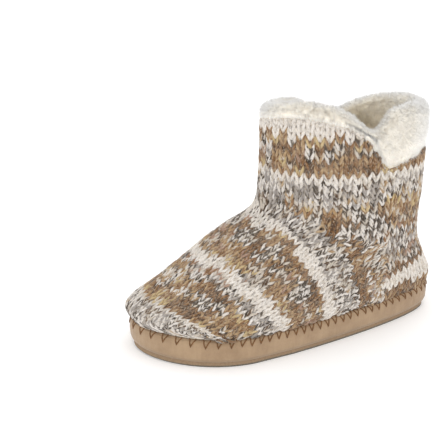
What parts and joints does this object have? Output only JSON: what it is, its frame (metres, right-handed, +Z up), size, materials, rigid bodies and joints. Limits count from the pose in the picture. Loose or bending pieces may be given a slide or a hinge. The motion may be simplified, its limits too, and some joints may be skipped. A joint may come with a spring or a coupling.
{
  "type": "bootie slipper",
  "caption": "Left bootie slipper: hollow knitted upper open at a notched collar, fat fleece cuff, pile insole and a thick suede-wrapped flat sole.",
  "frame": {"origin": "middle of the underside of the part's box, on the floor", "axes": "+Y from the toe to the heel, +X to the outer side of the foot, +Z up"},
  "size_m": [0.109, 0.2574, 0.1909],
  "materials": {
    "outsole": "matt",
    "suede": "napped suede",
    "insole": "short cream pile",
    "knit": "chunky striped knit",
    "fleece": "thick cream pile"
  },
  "bodies": {
    "root": {"outsole": "outsole", "midsole": "suede", "insole": "insole", "upper": "knit", "fleece_collar": "fleece"}
  },
  "joints": []
}
